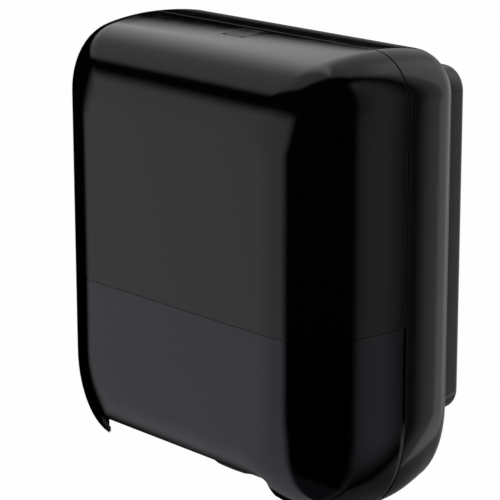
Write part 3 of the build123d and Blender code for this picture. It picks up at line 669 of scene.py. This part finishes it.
lap = cover_skin("lap_band", lap_inset)
slice_off(lap, up, window_top + lap_overlap)
slice_off(lap, down, lap_reach)
thicken(lap, lap_wall)
seat = cover_skin("lap_seat", seat_inset)
slice_off(seat, up, window_top + lap_overlap)
slice_off(seat, down, -window_top)
thicken(seat, seat_wall)
latch_lugs = merged_copy("front_cover", "latch_lugs")
crop(
    latch_lugs,
    (
        (right, 0.02),
        (left, 0.02),
        (up, 0.1806),
        (down, -0.15),
        (behind, -0.128),
        (ahead, 0.165),
    ),
)
join(lap, [seat, latch_lugs])
bpy.ops.object.shade_smooth_by_angle(angle=smooth_angle)
join(cover, [lap])

cover_gloss = moulded(
    "cover_gloss",
    tones=((0.0004, 0.0004, 0.0004), (0.0007, 0.0007, 0.0007)),
    dullness=(0.07, 0.12),
    peel_size=380,
    peel_depth=0.000003,
    scuff_size=80,
)
fit_piece(cover, "front_cover", cover_gloss)

rib = box((0, 0, 0), rib_size)
bpy.ops.object.mode_set(mode="EDIT")
bpy.ops.mesh.bevel(offset=rib_round, segments=2, affect="EDGES")
bpy.ops.object.mode_set(mode="OBJECT")
ribs = []
for index in range(rib_count):
    rib_x = (index - (rib_count - 1) / 2) * rib_pitch
    rib_copy = bpy.data.objects.new("lap_ribs", rib.data.copy())
    scene.collection.objects.link(rib_copy)
    for vertex in rib_copy.data.vertices:
        vertex.co += Vector((rib_x, front_y + lap_inset, rib_z))
    ribs.append(rib_copy)
bpy.data.objects.remove(rib)
lap_ribs = ribs[0]
join(lap_ribs, ribs[1:])
lap_ribs.data.name = "lap_ribs"
bpy.ops.object.shade_smooth_by_angle(angle=smooth_angle)

# The ribs' pale grey is a painted highlight: it stands in for the light streaks seen on them.
rib_pale_painted_highlight = moulded(
    "rib_pale_painted_highlight",
    tones=((0.2, 0.2, 0.21), (0.26, 0.26, 0.27)),
    dullness=(0.4, 0.55),
    peel_size=1200,
    peel_depth=0.00002,
    scuff_size=90,
)
lap_ribs.data.materials.append(rib_pale_painted_highlight)
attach(lap_ribs, "cover")

# Window: the smoked lower half of the lid, through which the towel level shows.
# Tinted polycarbonate of the same form, with the towel notch cut between two lobes. Behind
# the notch the opening splays out to the casing's sides, and two ears reach to the hinge.
window_gap = 0.0003
window_back = -0.109
window_rim_break = 0.0005
cut_height = 0.1
notch_top = -0.1486
notch_width = 0.21
notch_y = -0.16
notch_length = 0.2
notch_round = 0.005
splay_front = -0.1855
splay_back = -0.158
splay_front_width = 0.214
splay_back_width = 0.284
splay_y = (splay_front + splay_back) / 2
opening_front = -0.1581
opening_back = -0.1259
opening_y = (opening_front + opening_back) / 2
cut_z = notch_top - cut_height / 2

window = bpy.data.objects.new("smoked_window", lid.data.copy())
scene.collection.objects.link(window)
bpy.data.objects.remove(lid)
slice_off(window, up, window_top - window_gap)
slice_off(window, behind, window_back)
thicken(window, wall)
notch = box((0, notch_y, cut_z), (notch_width, notch_length, cut_height))
round_edges(notch, along_y, notch_round, above=cut_z)
cut_away(window, notch)
splay = box((0, splay_y, cut_z), (splay_front_width, splay_back - splay_front, cut_height))
for vertex in splay.data.vertices:
    if vertex.co.y > splay_y:
        vertex.co.x *= splay_back_width / splay_front_width
cut_away(window, splay)
opening_size = (splay_back_width, opening_back - opening_front, cut_height)
cut_away(window, box((0, opening_y, cut_z), opening_size))
ease_edges(window, window_rim_break)

ears = merged_copy("window", "hinge_ears")
crop(
    ears,
    (
        (right, 0.1245),
        (left, 0.1245),
        (ahead, 0.1375),
        (up, -0.15),
        (down, 0.1815),
    ),
)
join(window, [ears])

smoke_tones = ((0.026, 0.026, 0.033), (0.03, 0.03, 0.038))
smoke_dullness = (0.06, 0.1)
smoke_finish = {
    "Transmission Weight": 1.0,
    "IOR": 1.59,
    "Specular Tint": (0.87, 0.84, 1, 1),
}
smoke_shadow = (0.5, 0.5, 0.55, 1)
smoke_relief_strength = 0.4
smoke_peel_depth = 0.000003
smoke, smoke_tree = blank_material("smoked_polycarbonate")
smoke_grain = moulding_grain(smoke_tree, peel_size=300, scuff_size=80)
smoke_skin = skin(
    smoke_tree,
    smoke_grain["Flow"],
    smoke_tones,
    smoke_grain["Scuff"],
    smoke_dullness,
    (smoke_grain["Peel"], smoke_relief_strength, smoke_peel_depth),
    smoke_finish,
)
smoke_shaded = put(smoke_tree, "ShaderNodeLightPath").outputs["Is Shadow Ray"]
smoke_clear = put(smoke_tree, "ShaderNodeBsdfTransparent", {"Color": smoke_shadow}).outputs[0]
smoke_look = mix_shaders(smoke_tree, smoke_shaded, smoke_skin, smoke_clear)
put(smoke_tree, "ShaderNodeOutputMaterial", {"Surface": smoke_look})
fit_piece(window, "window", smoke)

# Lock button: a rounded square key, flush in the top of the cover just ahead of the seam.
# The same gloss plastic, with a soft edge that shows as a fine groove.
button = merged_copy("lock_button", "lock_key")
fit_piece(button, "lock_button", cover_gloss)

# Lock and latch: a lever under the key hooks behind a catch in the roof of the rear shell.
# Grey moulded lever and catch, on a steel pin with a small coil spring.
chassis_grey = moulded(
    "chassis_grey",
    tones=((0.055, 0.057, 0.06), (0.07, 0.072, 0.076)),
    dullness=(0.42, 0.58),
    peel_size=1500,
    peel_depth=0.00003,
    scuff_size=120,
)
line_strength = 0.3
line_depth = 0.00001


def metal(name, tones, dullness, line_sizes):
    """A metal with fine drawn lines along its length and a slight change of tone."""
    made, tree = blank_material(name)
    place = put(tree, "ShaderNodeTexCoord").outputs["Object"]
    stretch = put(tree, "ShaderNodeMapping", {"Vector": place, "Scale": line_sizes}).outputs[0]
    lines = noise(tree, stretch, size=1.0, detail=4.0)
    relief = (lines, line_strength, line_depth)
    look = skin(tree, lines, tones, lines, dullness, relief, {"Metallic": 1.0})
    put(tree, "ShaderNodeOutputMaterial", {"Surface": look})
    return made


def carry(material, pieces):
    """Welded, smooth copies of CAD nodes in one finish, each under its own name."""
    for node, name in pieces.items():
        fit_piece(merged_copy(node, name), node, material)


shaft_steel = metal(
    "shaft_steel",
    tones=((0.42, 0.42, 0.43), (0.55, 0.55, 0.56)),
    dullness=(0.2, 0.36),
    line_sizes=(120, 2400, 2400),
)
spring_steel = metal(
    "spring_steel",
    tones=((0.3, 0.3, 0.31), (0.42, 0.42, 0.43)),
    dullness=(0.22, 0.4),
    line_sizes=(900, 900, 900),
)
carry(chassis_grey, {"latch_lever": "latch_hook", "latch_catch": "roof_catch"})
carry(shaft_steel, {"latch_pin": "latch_hook_pin"})
carry(spring_steel, {"latch_spring": "latch_coil"})

# Hinge pins and casing screws: what the lid swings on, and what holds the rear shell
# to the wall housing. Ground steel pins, and zinc-plated pan-head screws driven into
# moulded posts.
screw_zinc = metal(
    "screw_zinc",
    tones=((0.45, 0.45, 0.42), (0.58, 0.58, 0.55)),
    dullness=(0.28, 0.45),
    line_sizes=(700, 700, 700),
)
carry(shaft_steel, {"hinge_pins": "lid_hinge_pins"})
carry(screw_zinc, {"shell_screws": "casing_screws"})

# Side frames: two upright plates with feet, screwed to the housing floor and tied by a rod.
# Grey glass-filled moulding and a steel rod, with the towel chute and the drum guard
# clipped between the plates.
carry(chassis_grey, {"side_frame_left": "left_side_plate", "side_frame_right": "right_side_plate"})
carry(chassis_grey, {"paper_chute": "towel_chute_lip", "drum_guard": "drum_guard_sheet"})
carry(shaft_steel, {"frame_tie": "side_plate_tie"})
carry(screw_zinc, {"frame_screws": "side_plate_screws"})

# Feed drum: a slotted moulded tube with two end discs on a steel shaft, and rubber bands
# for grip. Pale acetal bushes carry the shaft, and a one-way clutch keeps it from
# turning back.
drum_grey = moulded(
    "drum_grey",
    tones=((0.2, 0.205, 0.21), (0.24, 0.245, 0.25)),
    dullness=(0.38, 0.52),
    peel_size=1300,
    peel_depth=0.00002,
    scuff_size=110,
)
grip_rubber = moulded(
    "grip_rubber",
    tones=((0.012, 0.012, 0.012), (0.02, 0.02, 0.02)),
    dullness=(0.7, 0.85),
    peel_size=2600,
    peel_depth=0.00008,
    scuff_size=200,
)
bush_plastic = moulded(
    "bush_plastic",
    tones=((0.66, 0.65, 0.6), (0.72, 0.71, 0.67)),
    dullness=(0.3, 0.42),
    peel_size=1200,
    peel_depth=0.00001,
    scuff_size=100,
)
carry(drum_grey, {"drum_shell": "feed_drum_tube"})
carry(drum_grey, {"drum_end_left": "left_drum_disc", "drum_end_right": "right_drum_disc"})
carry(grip_rubber, {"drum_grips": "drum_rubber_bands"})
carry(shaft_steel, {"drum_shaft": "feed_drum_shaft", "one_way_clutch": "clutch_cup"})
carry(bush_plastic, {"drum_bush_left": "left_shaft_bush", "drum_bush_right": "right_shaft_bush"})

# Drive ends: a grooved handwheel on the right, and on the left a crank with its return spring.
# Pale grey wheel, steel crank pin and post, and a long drawn-wire spring between them.
wheel_plastic = moulded(
    "wheel_plastic",
    tones=((0.34, 0.36, 0.37), (0.4, 0.42, 0.43)),
    dullness=(0.34, 0.5),
    peel_size=1200,
    peel_depth=0.00002,
    scuff_size=100,
)
carry(wheel_plastic, {"handwheel": "feed_handwheel"})
carry(screw_zinc, {"handwheel_screw": "handwheel_centre_screw"})
carry(drum_grey, {"crank_disc": "return_crank"})
carry(shaft_steel, {"crank_pin": "return_crank_pin", "spring_post": "return_spring_post"})
carry(spring_steel, {"return_spring": "return_coil"})

# Knife: a carrier hinged in the drum, with a toothed blade, swung out by a follower on a
# fixed cam. Moulded carrier and follower, stamped steel blade, and a steel pivot rod.
blade_steel = metal(
    "blade_steel",
    tones=((0.5, 0.51, 0.52), (0.64, 0.65, 0.66)),
    dullness=(0.16, 0.32),
    line_sizes=(60, 3000, 3000),
)
carry(drum_grey, {"knife_carrier": "blade_carrier", "knife_follower": "blade_follower"})
carry(blade_steel, {"knife_blade": "toothed_blade"})
carry(shaft_steel, {"knife_pivot": "blade_pivot_rod"})
carry(chassis_grey, {"knife_cam": "blade_cam"})

# Pressure rollers: three rubber rollers on a shaft that hold the towel to the drum.
# They hang in a moulded carrier on a steel pivot, pushed forward by coil springs.
carry(chassis_grey, {"pressure_frame": "roller_carrier_frame"})
carry(grip_rubber, {"pressure_rollers": "rubber_rollers"})
carry(shaft_steel, {"pressure_pivot": "roller_carrier_pivot", "pressure_shaft": "roller_shaft"})
carry(spring_steel, {"pressure_springs": "roller_coils"})

# Roll holders: a fixed left arm and a right arm that swings out on a pin to take the towel
# roll. Grey moulded arms and bracket, with a pale hub that turns on the end of each.
carry(chassis_grey, {"roll_arm_left": "left_roll_arm", "roll_arm_right": "right_roll_arm"})
carry(chassis_grey, {"arm_bracket": "right_arm_bracket"})
carry(wheel_plastic, {"roll_hub_left": "left_roll_hub", "roll_hub_right": "right_roll_hub"})
carry(shaft_steel, {"arm_pin": "right_arm_pin"})
carry(spring_steel, {"arm_spring": "right_arm_coil"})
carry(screw_zinc, {"arm_screws": "roll_arm_screws"})
